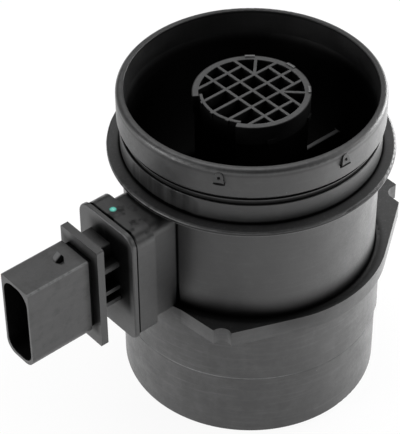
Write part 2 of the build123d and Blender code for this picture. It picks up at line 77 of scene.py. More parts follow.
class Signal:
    """A number that a node puts out, which can be used in ordinary sums."""

    def __init__(self, graph: "Graph", socket: bpy.types.NodeSocket) -> None:
        """Wraps one output socket of a tree."""
        self.graph = graph
        self.socket = socket

    def math(self, operation: str, first: Any, second: Any = None) -> "Signal":
        """Adds one Math node.

        Args:
            operation: The node's operation.
            first: Its first value, a signal or a number.
            second: Its second value, where it has one.

        Returns:
            The node's result.
        """
        inputs = {0: first} if second is None else {0: first, 1: second}
        made = self.graph.node("ShaderNodeMath", {"operation": operation}, inputs)
        return Signal(self.graph, made.outputs[0])

    def __add__(self, other: Any) -> "Signal":
        """Sum."""
        return self.math("ADD", self, other)

    def __radd__(self, other: Any) -> "Signal":
        """Sum, with the number first."""
        return self.math("ADD", other, self)

    def __sub__(self, other: Any) -> "Signal":
        """Difference."""
        return self.math("SUBTRACT", self, other)

    def __rsub__(self, other: Any) -> "Signal":
        """Difference, with the number first."""
        return self.math("SUBTRACT", other, self)

    def __mul__(self, other: Any) -> "Signal":
        """Product."""
        return self.math("MULTIPLY", self, other)

    def __rmul__(self, other: Any) -> "Signal":
        """Product, with the number first."""
        return self.math("MULTIPLY", other, self)

    def __truediv__(self, other: Any) -> "Signal":
        """Quotient."""
        return self.math("DIVIDE", self, other)

    def __rtruediv__(self, other: Any) -> "Signal":
        """Quotient, with the number first."""
        return self.math("DIVIDE", other, self)

    def __pow__(self, other: Any) -> "Signal":
        """Power."""
        return self.math("POWER", self, other)

    def __abs__(self) -> "Signal":
        """Size without its sign."""
        return self.math("ABSOLUTE", self)

    def most(self, other: Any) -> "Signal":
        """Larger of two."""
        return self.math("MAXIMUM", self, other)

    def least(self, other: Any) -> "Signal":
        """Smaller of two."""
        return self.math("MINIMUM", self, other)

    def ramp(self, low: Number, high: Number) -> "Signal":
        """Smooth rise from 0 at low to 1 at high.

        Args:
            low: Value at which the rise starts.
            high: Value at which it ends; below low, the result falls instead.

        Returns:
            A number from 0 to 1.
        """
        settings = {"interpolation_type": "SMOOTHSTEP"}
        turned = high < low
        inputs = {0: self, 1: min(low, high), 2: max(low, high)}
        made = self.graph.node("ShaderNodeMapRange", settings, inputs)
        rise = Signal(self.graph, made.outputs[0])
        return 1.0 - rise if turned else rise

    def near(self, place: Number, reach: Number) -> "Signal":
        """Soft stripe: 1 at a place, 0 further from it than reach."""
        return abs(self - place).ramp(reach, 0.0)

    def between(self, start: Number, full: Number, fade: Number, end: Number) -> "Signal":
        """Soft plateau: 1 from full to fade, 0 before start and past end."""
        return self.ramp(start, full) * self.ramp(end, fade)


class Graph:
    """A node tree that is filled in by calls."""

    def __init__(self, tree: bpy.types.NodeTree) -> None:
        """Takes over a shader tree or a geometry tree."""
        self.tree = tree

    def node(
        self,
        kind: str,
        settings: Optional[dict[str, Any]] = None,
        inputs: Optional[dict[Any, Any]] = None,
    ) -> bpy.types.Node:
        """Adds one node.

        Args:
            kind: The node's type name.
            settings: Its own properties, set before its sockets.
            inputs: Values or links by socket name or number.

        Returns:
            The new node.
        """
        made = self.tree.nodes.new(kind)
        for name, value in (settings or {}).items():
            setattr(made, name, value)
        for name, value in (inputs or {}).items():
            self.feed(made.inputs[name], value)
        return made

    def feed(self, socket: bpy.types.NodeSocket, value: Any) -> None:
        """Links or sets one socket.

        Args:
            socket: The input.
            value: A signal, a socket, a number, a vector or a colour of three numbers.
        """
        source = value.socket if isinstance(value, Signal) else value
        if isinstance(source, bpy.types.NodeSocket):
            self.tree.links.new(source, socket)
        elif socket.type == "RGBA":
            socket.default_value = (*source[:3], 1.0)
        else:
            socket.default_value = source

    def out(self, made: bpy.types.Node, name: Any = 0) -> Signal:
        """One output of a node, by its name or number, as a signal."""
        return Signal(self, made.outputs[name])


class Surface(Graph):
    """The shader tree of one material, with its coordinates in millimetres."""

    def __init__(self, name: str) -> None:
        """Starts a material with a Principled shader.

        Args:
            name: The material's name.
        """
        self.material = bpy.data.materials.new(name)
        self.material.use_nodes = True
        super().__init__(self.material.node_tree)
        self.tree.nodes.clear()
        self.shader = self.node("ShaderNodeBsdfPrincipled")
        self.output = self.node("ShaderNodeOutputMaterial")
        self.feed(self.output.inputs["Surface"], self.shader.outputs[0])
        coordinates = self.node("ShaderNodeTexCoord")
        scaled = self.node(
            "ShaderNodeVectorMath",
            {"operation": "SCALE"},
            {0: coordinates.outputs["Object"], "Scale": 1.0 / MM},
        )
        self.place = scaled.outputs["Vector"]
        split = self.node("ShaderNodeSeparateXYZ", None, {0: self.place})
        self.x = self.out(split, 0)
        self.y = self.out(split, 1)
        self.z = self.out(split, 2)
        self.radius = (self.x * self.x + self.y * self.y) ** 0.5

    def stretched(self, scale: Sequence[float]) -> bpy.types.NodeSocket:
        """Coordinates in millimetres, stretched by a factor on each axis."""
        made = self.node("ShaderNodeMapping", None, {0: self.place, "Scale": scale})
        return made.outputs[0]

    def noise(
        self,
        size: float,
        detail: float = 2.0,
        roughness: float = 0.5,
        place: Optional[bpy.types.NodeSocket] = None,
    ) -> Signal:
        """Cloudy noise about 0.5.

        Args:
            size: Length of one cloud in millimetres.
            detail: Number of finer layers.
            roughness: Weight of the finer layers.
            place: Coordinates, where they aren't the plain ones.

        Returns:
            The noise.
        """
        inputs = {"Vector": place or self.place, "Scale": 1.0 / size, "Detail": detail}
        inputs["Roughness"] = roughness
        return self.out(self.node("ShaderNodeTexNoise", None, inputs), 0)

    def specks(self, spacing: float, radius: float, share: float) -> Signal:
        """Sparse round specks.

        Args:
            spacing: Distance between possible specks in millimetres.
            radius: Radius of a speck in millimetres.
            share: Share of the places that hold one.

        Returns:
            1 in a speck and 0 outside.
        """
        inputs = {"Vector": self.place, "Scale": 1.0 / spacing}
        cells = self.node("ShaderNodeTexVoronoi", None, inputs)
        distance = self.out(cells, "Distance")
        colour = self.node("ShaderNodeSeparateColor", None, {0: cells.outputs["Color"]})
        chosen = self.out(colour, 0).ramp(1.0 - share, 1.0 - share + 0.02)
        return distance.ramp(radius / spacing, radius / spacing * 0.4) * chosen

    def patch(self, angle: float, height: float, half_width: float, half_height: float) -> Signal:
        """Soft oval patch on the outside of the duct.

        Args:
            angle: Direction of its middle from the axis, in degrees from +X.
            height: Height of its middle in millimetres.
            half_width: How far it reaches sideways.
            half_height: How far it reaches up and down.

        Returns:
            1 at the middle and 0 outside.
        """
        cosine = math.cos(math.radians(angle))
        sine = math.sin(math.radians(angle))
        sideways = (self.y * cosine - self.x * sine) / half_width
        upwards = (self.z - height) / half_height
        facing = (self.x * cosine + self.y * sine).ramp(0.0, 1.0)
        return (sideways**4.0 + upwards**4.0).ramp(1.0, 0.5) * facing

    def mix(self, mask: Signal, low: Any, high: Any) -> bpy.types.NodeSocket:
        """Blend of two colours, where the mask is the second one's share."""
        inputs = {0: mask, 6: low, 7: high}
        return self.node("ShaderNodeMix", {"data_type": "RGBA"}, inputs).outputs[2]

    def set(self, name: str, value: Any) -> None:
        """Sets or links one of the shader's own sockets."""
        self.feed(self.shader.inputs[name], value)

    def relief(self, height: Signal) -> None:
        """Makes a height into the shader's normal.

        Args:
            height: Height in millimetres.
        """
        inputs = {"Height": height, "Distance": MM, "Strength": 1.0}
        bump = self.node("ShaderNodeBump", None, inputs)
        self.set("Normal", bump.outputs[0])

    def matt(self, mask: Signal) -> None:
        """Blends the surface into matt black, which paints shade in crevices, hollows and under
        parts, and also dark stains.

        Args:
            mask: Share of the matt black.
        """
        # Near-black matt shader: painted shade, and dark stains, where the mask is high.
        settings = {"Base Color": (0.0012, 0.0012, 0.0012), "Roughness": 1.0}
        settings["Specular IOR Level"] = 0.0
        darkening = self.node("ShaderNodeBsdfPrincipled", None, settings)
        inputs = {0: mask, 1: self.shader.outputs[0], 2: darkening.outputs[0]}
        mixed = self.node("ShaderNodeMixShader", None, inputs)
        self.feed(self.output.inputs["Surface"], mixed.outputs[0])


# ---- Finishes --------------------------------------------------------------------------


@dataclass(frozen=True)
class Ring:
    """Soft ring round the duct's axis, in millimetres.

    Attributes:
        radius: Radius of its middle.
        height: Height of its middle.
        out: How far it reaches inwards and outwards.
        up: How far it reaches up and down.
        share: Strength at its middle.
    """

    radius: float
    height: float
    out: float
    up: float
    share: float = 1.0

    def on(self, made: Surface) -> Signal:
        """Its mask on a surface."""
        across = made.radius.near(self.radius, self.out)
        return across * made.z.near(self.height, self.up) * self.share


def all_rings(rings: Iterable[Ring], made: Surface) -> Any:
    """Sum of several rings' masks.

    Args:
        rings: The rings.
        made: The surface.

    Returns:
        The mask, which may pass 1 where rings meet.
    """
    total: Any = 0.0
    for ring in rings:
        total = ring.on(made) + total
    return total


@dataclass(frozen=True)
class Mould:
    """Glass-filled plastic from a mould, with the mould's fine eroded texture.

    Attributes:
        name: Name of the material.
        colour: Colour of the plastic.
        roughness: Mean roughness.
        grain: Length of the texture's grain in millimetres.
        depth: Depth of the texture in millimetres.
        cloud: Share by which the colour drifts over the part.
        dust: Share of the possible places that hold a light speck.
        fines: Colour of scratches, pale wear and painted highlights.
    """

    name: str
    colour: Colour
    roughness: float = 0.5
    grain: float = 0.35
    depth: float = 0.012
    cloud: float = 0.3
    dust: float = 0.08
    fines: Colour = (0.16, 0.16, 0.162)

    def build(self) -> bpy.types.Material:
        """Makes the material.

        Returns:
            The finished material.
        """
        made = Surface(self.name)
        fine = made.noise(self.grain, 2.0, 0.6)
        speckle = made.noise(0.9, 3.0, 0.7)
        cloud = made.noise(9.0, 3.0, 0.55)
        drift = (cloud - 0.5) * 1.6 + (speckle - 0.5) * 1.2 + 0.5
        light = tuple(channel * (1.0 + self.cloud) for channel in self.colour)
        dark = tuple(channel * (1.0 - self.cloud) for channel in self.colour)
        base = made.mix(drift.least(1.0).most(0.0), dark, light)
        # Pale wear, and painted highlights on edges and tops, blended towards the pale colour.
        pale = self.wear_and_painted_highlights(made)
        if pale is not None:
            base = made.mix(pale.least(1.0), base, self.fines)
        dust = made.specks(spacing=4.2, radius=0.17, share=self.dust)
        made.set("Base Color", made.mix(dust * 0.55, base, (0.3, 0.3, 0.29)))
        uneven = (cloud - 0.5) * 0.22 + (speckle - 0.5) * 0.26
        made.set("Roughness", self.roughness + uneven)
        waves = made.noise(2.6, 1.0) * 1.5 + speckle * 1.6
        made.relief((fine + waves) * self.depth)
        # Matt black for painted shade in crevices and hollows, and for dark stains.
        darkening = self.painted_shade_and_stains(made)
        if darkening is not None:
            made.matt(darkening.least(1.0))
        return made.material

    def wear_and_painted_highlights(self, made: Surface) -> Optional[Signal]:
        """Share of pale colour, for wear and painted highlights, where the finish has them."""
        return None

    def painted_shade_and_stains(self, made: Surface) -> Optional[Signal]:
        """Share of matt black, for painted shade and stains, where the finish has it."""
        return None


@dataclass(frozen=True)
class HousingMould(Mould):
    """The housing's plastic, with painted highlights on its edges, a scuffed skirt and painted
    shade in its crevices.

    Attributes:
        edges: Turned edges with painted highlights, broken up by noise.
        painted_shade_rings: Turned corners and grooves with painted shade.
        skirt_line: Height of the fine scratched line round the skirt.
        spigot: Radius of the spigot under the skirt.
        flange_top: Height of the mounting flange's upper face.
        collar_top: Height of the collar's upper face.
        rim_top: Height of the rim's top.
        rim: Radius of the rim band.
        bore: Radius inside which the duct has painted shade.
        throat: Half the width of the throat where it meets the barrel.
        barrel: Radius of the barrel.
        cover_back: Place along X of the cover plate's back.
        box_top: Height of the flat top of the box behind the cover.
        fin_top: Height of the top of the fin across the duct.
        fin_half: Half the fin's thickness.
        nose_low: Height of the snap noses' undersides.
        neck: Radius of the neck.
        neck_patch_angle: Direction in degrees of the dark patch on the neck.
        neck_middle: Height of the patch's middle.
    """

    # Painted highlights along these turned edges.
    edges: tuple[Ring, ...] = (
        Ring(44.8, 120.8, 1.9, 1.2, 0.14),  # top of the rim
        Ring(45.9, 119.4, 0.6, 1.1, 0.1),  # foot of its outer rounding
        Ring(49.75, 97.65, 0.3, 0.35, 0.5),  # collar's upper edge
        Ring(49.8, 96.5, 0.3, 0.25, 0.14),  # collar's lower edge
    )
    # Painted shade in these turned corners and grooves.
    painted_shade_rings: tuple[Ring, ...] = (
        Ring(43.2, 120.3, 0.55, 0.9, 0.6),  # inner edge of the rim
        Ring(46.0, 118.5, 0.5, 1.0, 0.24),  # under the rim's rounding
        Ring(49.8, 96.95, 0.35, 0.3, 0.8),  # under the collar's flash
        Ring(44.2, 108.4, 0.85, 1.0, 0.9),  # top of the groove under the rim band
        Ring(44.3, 107.0, 0.75, 1.9, 0.7),  # middle of the groove
        Ring(44.6, 106.0, 0.7, 0.7, 0.8),  # its lower corner
        Ring(45.3, 98.1, 1.0, 1.1, 1.1),  # foot of the neck
        Ring(44.6, 54.5, 3.8, 10.0, 1.05),  # foot of the barrel
    )
    skirt_line: float = 27.0
    spigot: float = 46.2
    flange_top: float = 54.5
    collar_top: float = 97.9
    rim_top: float = 120.8
    rim: float = 46.0
    bore: float = 43.0
    throat: float = 11.3
    barrel: float = 44.6
    cover_back: float = -62.0
    box_top: float = 96.4
    fin_top: float = 79.4
    fin_half: float = 1.0
    nose_low: float = 114.9
    neck: float = 45.1
    neck_patch_angle: float = -174.0
    neck_middle: float = 101.8

    def wear_and_painted_highlights(self, made: Surface) -> Signal:
        """Share of pale colour: painted highlights on edges and on the fin's top, scuffs on the
        skirt, dust on flat tops and a haze.

        Args:
            made: The surface.

        Returns:
            The mask.
        """
        patches = made.noise(6.0, 4.0, 0.65)
        broken = made.noise(3.0, 3.0, 0.7, made.stretched((1.0, 1.0, 0.2))).ramp(0.3, 0.62)
        streaks = made.noise(9.0, 4.0, 0.65, made.stretched((0.5, 0.5, 7.0))).ramp(0.48, 0.78)
        skirt = made.radius.ramp(self.spigot - 0.6, self.spigot - 0.2)
        skirt = skirt * made.z.ramp(self.flange_top - 0.5, self.flange_top - 4.5)
        # Painted highlights on the turned edges, broken up by noise.
        highlight_fade = made.x.ramp(30.0, -10.0) * 0.75 + 0.25  # painted highlights fade towards +X
        edges = all_rings(self.edges, made) * (broken * 0.7 + 0.3) * highlight_fade
        haze = (1.0 - skirt) * (patches.ramp(0.45, 0.85) * 0.05 + streaks * 0.03)
        scuffs = self.scuffs(made, patches, streaks) + self.scratched_line(made, broken)
        return edges + scuffs * skirt + haze + self.dusty_tops(made) + self.fin_highlight(made)

    def scuffs(self, made: Surface, patches: Signal, streaks: Signal) -> Signal:
        """Scuffs of the skirt, before they are kept to it."""
        runs = made.noise(9.0, 3.0, 0.6, made.stretched((1.0, 1.0, 0.12))).ramp(0.56, 0.8)
        return patches.ramp(0.35, 0.75) * 0.11 + streaks * 0.13 + runs * 0.09 + 0.03

    def scratched_line(self, made: Surface, broken: Signal) -> Signal:
        """Broken line round the skirt, before it is kept to it."""
        long = made.noise(26.0, 1.0).ramp(0.42, 0.6)
        return made.z.near(self.skirt_line, 0.7) * (broken * 0.5 + 0.5) * (long * 0.8 + 0.1)

    def dusty_tops(self, made: Surface) -> Signal:
        """Share of pale fines on the flat tops of the flange and the collar.

        Args:
            made: The surface.

        Returns:
            The mask.
        """
        tops = made.z.near(self.flange_top, 0.4) + made.z.near(self.collar_top, 0.3)
        tops = tops * made.radius.ramp(self.barrel + 1.4, self.barrel + 2.4)
        return tops * (made.noise(1.1, 3.0, 0.7).ramp(0.5, 0.75) * 0.16 + 0.06)

    def fin(self, made: Surface) -> Signal:
        """Where the top of the fin is."""
        side = abs(made.y).ramp(self.fin_half + 0.6, self.fin_half + 0.2)
        return made.z.near(self.fin_top, 0.6) * side

    def fin_highlight(self, made: Surface) -> Signal:
        """Share of painted light on the top of the fin."""
        return self.fin(made) * made.radius.ramp(self.bore, self.bore - 1.0) * 0.5

    def painted_shade_and_stains(self, made: Surface) -> Signal:
        """Share of matt black: painted shade in crevices, the duct, the throat's corners, under
        the noses and along the seam, stains on the box's top and a dark patch on the neck.

        Args:
            made: The surface.

        Returns:
            The mask.
        """
        box_top = made.z.ramp(self.box_top - 3.0, self.box_top - 0.5)
        dark_patches = self.lid_stains(made) * box_top + self.neck_dark_patch(made)
        # Painted shade in the duct, in the throat's corners and under the noses.
        hollow_shade = self.duct_shade(made) + self.throat_crease(made) + self.nose_shade(made)
        return all_rings(self.painted_shade_rings, made) + hollow_shade + dark_patches + self.cover_seam(made, box_top)

    def duct_shade(self, made: Surface) -> Signal:
        """Share of painted shade inside the duct, darker lower down, with the fin's top left bare.

        Args:
            made: The surface.

        Returns:
            The mask.
        """
        inside = made.radius.ramp(self.bore + 0.9, self.bore - 0.6)
        inside = inside * made.z.ramp(self.rim_top - 0.1, self.rim_top - 1.8)
        deeper = made.z.ramp(self.rim_top - 1.8, self.rim_top - 14.8)
        return inside * (1.0 - self.fin(made)) * (deeper * 0.12 + 0.8)

    def throat_crease(self, made: Surface) -> Signal:
        """Share of painted shade in the two corners where the throat meets the barrel.

        Args:
            made: The surface.

        Returns:
            The mask.
        """
        corner = -math.sqrt(self.barrel**2 - self.throat**2)
        side = abs(made.y) - self.throat
        gap = ((made.x - corner) ** 2.0 + side**2.0) ** 0.5
        low, high = self.flange_top - 4.5, self.collar_top - 0.9
        return gap.ramp(1.0, 0.2) * made.z.between(low, low + 4.0, high - 2.0, high) * 0.95

    def nose_shade(self, made: Surface) -> Signal:
        """Share of painted shade under the snap noses and inside their pin rings.

        Args:
            made: The surface.

        Returns:
            The mask.
        """
        slots: Any = 0.0
        # Painted shade under each nose, and a dark dot inside its pin ring.
        for angle in NOSE_ANGLES.values():
            slots = made.patch(angle, self.nose_low - 0.1, 2.1, 1.0) + slots
            slots = made.patch(angle, self.nose_low + 2.5, 0.5, 0.5) + slots
        return slots * made.radius.ramp(self.rim - 1.0, self.rim - 0.4) * 0.9

    def lid_stains(self, made: Surface) -> Signal:
        """Blots behind the cover plate, before they are kept to the box's top.

        Args:
            made: The surface.

        Returns:
            The mask.
        """
        lid = made.radius.ramp(self.barrel + 0.8, self.barrel + 1.6)
        lid = lid * made.x.ramp(self.cover_back + 17.0, self.cover_back + 12.0)
        return made.noise(5.0, 2.0, 0.6).ramp(0.5, 0.66) * lid * 0.55

    def neck_dark_patch(self, made: Surface) -> Signal:
        """Share of matt black in a streaky dark patch on the neck.

        Args:
            made: The surface.

        Returns:
            The mask.
        """
        runs = made.noise(5.0, 2.0, 0.6, made.stretched((1.6, 1.6, 0.15))).ramp(0.3, 0.7)
        neck = self.neck
        wall = made.radius.between(neck - 0.4, neck - 0.1, neck + 0.1, neck + 0.5)
        dark_patch = made.patch(self.neck_patch_angle, self.neck_middle, 16.0, 4.5)
        return dark_patch * wall * (runs * 0.35 + 0.25)

    def cover_seam(self, made: Surface, box_top: Signal) -> Signal:
        """Share of painted shadow along the cover plate's back, wider on the box's top."""
        behind = made.x - self.cover_back
        return (behind.ramp(0.35, 0.1) + box_top * behind.ramp(1.1, 0.6)).least(1.0) * 0.9


@dataclass(frozen=True)
class CarrierMould(Mould):
    """The module's plastic, with painted highlights on the plug's edges and painted shade on the
    neck and finger.

    Attributes:
        plug_top: Height of the plug shroud's flat top.
        plug_half: Half the width of the shroud.
        plug_end: Place along X of the shroud's open end.
        mouth_half: Half the width of the opening in that end.
        mouth_low: Height of the opening's lower edge.
        mouth_high: Height of its upper edge.
        rib_half: Half the width of the ribs on the neck.
        plate_front: Place along X of the front of the plug's flange.
        plate_back: Place along X of its back.
        cover_front: Place along X of the cover plate's front.
        bore: Radius inside which the module is in the duct.
    """

    plug_top: float = 91.1
    plug_half: float = 7.2
    plug_end: float = -101.7
    mouth_half: float = 6.3
    mouth_low: float = 59.0
    mouth_high: float = 89.9
    rib_half: float = 7.0
    plate_front: float = -75.3
    plate_back: float = -72.5
    cover_front: float = -64.25
    bore: float = 43.0

    def wear_and_painted_highlights(self, made: Surface) -> Signal:
        """Share of pale colour: painted highlights on the shroud's long edges and its latch's top,
        and a faint haze.

        Args:
            made: The surface.

        Returns:
            The mask.
        """
        patches = made.noise(5.0, 4.0, 0.6)
        broken = made.noise(2.4, 3.0, 0.7).ramp(0.25, 0.6)
        wear = made.noise(7.0, 3.0, 0.6, made.stretched((0.4, 1.0, 2.0))).ramp(0.4, 0.8)
        on_plug = made.x.ramp(self.plate_front - 1.5, self.plate_front - 2.5)
        side = abs(abs(made.y) - self.plug_half)
        # Painted highlights on the shroud's long edges, broken up by noise, and painted light on
        # the latch's top.
        edge = (side + abs(made.z - self.plug_top)).ramp(0.9, 0.1) * (broken * 0.8 + 0.25)
        latch = made.z.ramp(self.plug_top + 0.1, self.plug_top + 0.5) * made.y.ramp(-0.6, 0.4)
        return (edge + latch * 0.5 + wear * 0.06) * on_plug + patches.ramp(0.35, 0.8) * 0.04

    def painted_shade_and_stains(self, made: Surface) -> Signal:
        """Share of painted shade: the neck, the plug's root, latch and mouth, and the finger in
        the duct.

        Args:
            made: The surface.

        Returns:
            The mask.
        """
        # Painted shade on the latch's side and on the finger inside the duct.
        latch = made.z.ramp(self.plug_top + 0.05, self.plug_top + 0.2) * made.y.ramp(-0.1, -0.7)
        latch = latch * made.x.ramp(self.plate_front - 2.0, self.plate_front - 4.0)
        finger = made.radius.ramp(self.bore, self.bore - 1.5) * 0.8
        plug = self.plug_root(made).most(latch).most(self.plug_mouth(made))
        return (self.neck_shade(made) * 0.8).most(plug).most(finger)

    def neck_shade(self, made: Surface) -> Signal:
        """Share of painted shade on the neck and on the cover's face near it.

        Args:
            made: The surface.

        Returns:
            The mask.
        """
        side = abs(made.y)
        open_side = side.ramp(13.2, 11.2) * made.y.ramp(1.0, -1.0)
        far_side = side.ramp(11.0, 4.0) * made.y.ramp(-1.0, 1.0) * 0.7
        cover = made.x.ramp(self.cover_front - 0.3, self.cover_front - 0.1)
        cover = cover * (open_side + far_side) * made.z.between(61.0, 68.0, 92.0, 96.5)
        ribs = side.ramp(self.rib_half - 1.4, self.rib_half - 0.4) * 0.8
        neck = made.z.between(58.0, 64.0, 87.9, 88.8) * (1.0 - ribs)
        neck = neck * made.x.ramp(self.cover_front - 0.1, self.cover_front - 0.3)
        front, back = self.plate_back, self.cover_front
        return (neck + cover) * made.x.between(front - 0.1, front + 0.3, back + 0.1, back + 0.3)

    def plug_root(self, made: Surface) -> Signal:
        """Share of painted shade where the plug's shroud meets its flange.

        Args:
            made: The surface.

        Returns:
            The mask.
        """
        face = self.plate_front
        reach = (abs(made.y) - self.plug_half).most(made.z - self.plug_top)
        step = made.x.between(face - 2.2, face - 1.6, face - 0.1, face - 0.02) * 0.85
        ring = made.x.near(face, 0.15) * reach.ramp(2.6, 0.0) * 0.5
        back = made.x.ramp(face - 5.0, face - 1.5) * 0.2
        blots = made.noise(4.0, 4.0, 0.7).ramp(0.45, 0.75) * 0.16
        corner = (step + ring) * made.z.ramp(56.5, 60.0)
        return corner.most((back + blots) * made.x.ramp(face, face - 0.1))

    def plug_mouth(self, made: Surface) -> Signal:
        """Share of painted shade inside the plug's shroud.

        Args:
            made: The surface.

        Returns:
            The mask.
        """
        inside = abs(made.y).ramp(self.mouth_half + 0.4, self.mouth_half + 0.1)
        low, high = self.mouth_low, self.mouth_high
        inside = inside * made.z.between(low - 0.4, low - 0.1, high + 0.2, high + 0.5)
        first, last = self.plug_end, self.plate_front
        return inside * made.x.between(first + 0.1, first + 0.5, last - 4.0, last - 3.0) * 0.85


@dataclass(frozen=True)
class GridMould(Mould):
    """The flow grid's plastic: painted highlights on its tabs and painted shade on its sides.

    Attributes:
        top: Height of the bars' tops.
        rim: Radius of the grid's own rim.
    """

    top: float = 118.0
    rim: float = 20.2

    def wear_and_painted_highlights(self, made: Surface) -> Signal:
        """Share of pale colour: painted highlights on the tabs that stand above the bars, and
        small nicks.
        """
        nicks = made.noise(1.2, 3.0, 0.7).ramp(0.55, 0.75) * 0.1
        return made.z.ramp(self.top + 0.1, self.top + 0.4) * 0.5 + nicks

    def painted_shade_and_stains(self, made: Surface) -> Signal:
        """Share of painted shade on the bars' sides and round the rim."""
        below = made.z.ramp(self.top - 0.05, self.top - 0.5) * 0.85
        return below.most(made.radius.ramp(self.rim - 0.5, self.rim - 0.1) * 0.7)


@dataclass(frozen=True)
class Metal:
    """Rolled or plated metal with fine lines along X.

    Attributes:
        name: Name of the material.
        colour: Colour of the metal.
        roughness: Mean roughness.
    """

    name: str
    colour: Colour
    roughness: float = 0.3

    def build(self) -> bpy.types.Material:
        """Makes the material.

        Returns:
            The finished material.
        """
        made = Surface(self.name)
        lines = made.noise(0.25, 2.0, 0.5, made.stretched((0.05, 1.0, 1.0)))
        tarnish = made.noise(1.8, 3.0, 0.6).ramp(0.45, 0.75)
        dull = tuple(channel * 0.6 for channel in self.colour)
        made.set("Base Color", made.mix(tarnish * 0.5, self.colour, dull))
        made.set("Metallic", 1.0)
        made.set("Roughness", self.roughness + (lines - 0.5) * 0.2 + tarnish * 0.15)
        made.relief(lines * 0.01)
        return made.material


@dataclass(frozen=True)
class Clear:
    """Clear silicone gel with faint clouds.

    Attributes:
        name: Name of the material.
        colour: Tint of the gel.
    """

    name: str
    colour: Colour

    def build(self) -> bpy.types.Material:
        """Makes the material.

        Returns:
            The finished material.
        """
        made = Surface(self.name)
        cloud = made.noise(2.5, 2.0)
        made.set("Base Color", self.colour)
        made.set("Alpha", 0.35 + (cloud - 0.5) * 0.1)
        made.set("Roughness", 0.08 + cloud * 0.08)
        made.relief(cloud * 0.03)
        return made.material


@dataclass(frozen=True)
class Paint:
    """Drop of paint that dried on the plastic, thicker in the middle.

    Attributes:
        name: Name of the material.
        colour: Colour of the paint.
        centre: Middle of the drop in millimetres.
        radius: Radius of the drop in millimetres.
    """

    name: str
    colour: Colour
    centre: tuple[float, float]
    radius: float

    def build(self) -> bpy.types.Material:
        """Makes the material.

        Returns:
            The finished material.
        """
        made = Surface(self.name)
        across = made.x - self.centre[0]
        along = made.y - self.centre[1]
        out = (across * across + along * along) ** 0.5
        pool = made.noise(0.7, 2.0)
        thin = out.ramp(self.radius * 0.6, self.radius * 0.95) + (pool - 0.5) * 0.5
        crown = out.ramp(self.radius * 0.6, 0.0) * pool.ramp(0.35, 0.6) * 0.8
        deep = tuple(channel * 0.12 for channel in self.colour)
        base = made.mix(thin.most(0.0).least(1.0), self.colour, deep)
        made.set("Base Color", made.mix(crown, base, (0.55, 0.9, 0.84)))
        made.set("Roughness", 0.38 + pool * 0.15)
        made.relief(pool * 0.05)
        return made.material


class Finish(Enum):
    """Every finish on the air meter, by the record's slot."""

    HOUSING = HousingMould("housing_mould", (0.009, 0.009, 0.0093), roughness=0.47)
    GRID = GridMould("grid_mould", (0.036, 0.036, 0.0366), roughness=0.5, grain=0.25, depth=0.006)
    CARRIER = CarrierMould("carrier_mould", (0.021, 0.021, 0.0214), roughness=0.45, cloud=0.5)
    SEAL = Mould("seal_rubber", (0.012, 0.012, 0.012), roughness=0.75, depth=0.004)
    LID = Mould("lid_mould", (0.018, 0.018, 0.0185), roughness=0.5)
    BASE_METAL = Metal("base_metal", (0.78, 0.79, 0.8), roughness=0.35)
    BOARD = Mould("board_ceramic", (0.62, 0.6, 0.55), roughness=0.4, depth=0.003, dust=0.0)
    CHIP = Mould("chip_resin", (0.02, 0.02, 0.021), roughness=0.55, depth=0.004)
    CAPACITOR = Mould("capacitor_ceramic", (0.35, 0.22, 0.1), roughness=0.35, depth=0.003)
    SILICON = Metal("silicon", (0.2, 0.23, 0.3), roughness=0.12)
    GEL = Clear("gel", (0.82, 0.86, 0.83))
    BEAD = Mould("bead_glaze", (0.03, 0.1, 0.06), roughness=0.2, depth=0.002, dust=0.0)
    WIRE = Metal("tinned_wire", (0.7, 0.69, 0.66), roughness=0.3)
    TERMINAL = Metal("tin_plate", (0.72, 0.7, 0.64), roughness=0.28)
    FLASH = Mould("flash_thread", (0.05, 0.05, 0.051), roughness=0.8, cloud=0.5, dust=0.0)
    PAINT = Paint("paint_drop", (0.09, 0.62, 0.5), centre=(-58.4, 3.0), radius=1.35)

    @property
    def slot(self) -> str:
        """Name of the record's slot."""
        return self.name.lower()


class Paintbox:
    """Materials, each built once when it is first asked for."""

    def __init__(self) -> None:
        """Starts empty."""
        self.made: dict[Finish, bpy.types.Material] = {}

    def get(self, finish: Finish) -> bpy.types.Material:
        """The material of a finish.

        Args:
            finish: The finish.

        Returns:
            Its material.
        """
        if finish not in self.made:
            self.made[finish] = finish.value.build()
        return self.made[finish]


# ---- Dressing of the solids ----------------------------------------------------------------


@dataclass
class Dresser:
    """Gives the solids that keep their shape their finish.

    Attributes:
        paints: The materials.
        slots: Finish of each of the record's slots.
    """

    paints: Paintbox
    slots: dict[str, Finish] = field(default_factory=lambda: {f.slot: f for f in Finish})

    def dress(self) -> None:
        """Puts each node's finish into its material slots."""
        for part in frame["record"]["subparts"]:
            node = frame["nodes"][part["node"]]
            material = self.paints.get(self.slots[part["material_slot"]])
            for place in node.material_slots:
                place.material = material
            LOG.info("%s wears %s", part["node"], material.name)


# ---- Pieces of the scene -----------------------------------------------------------------


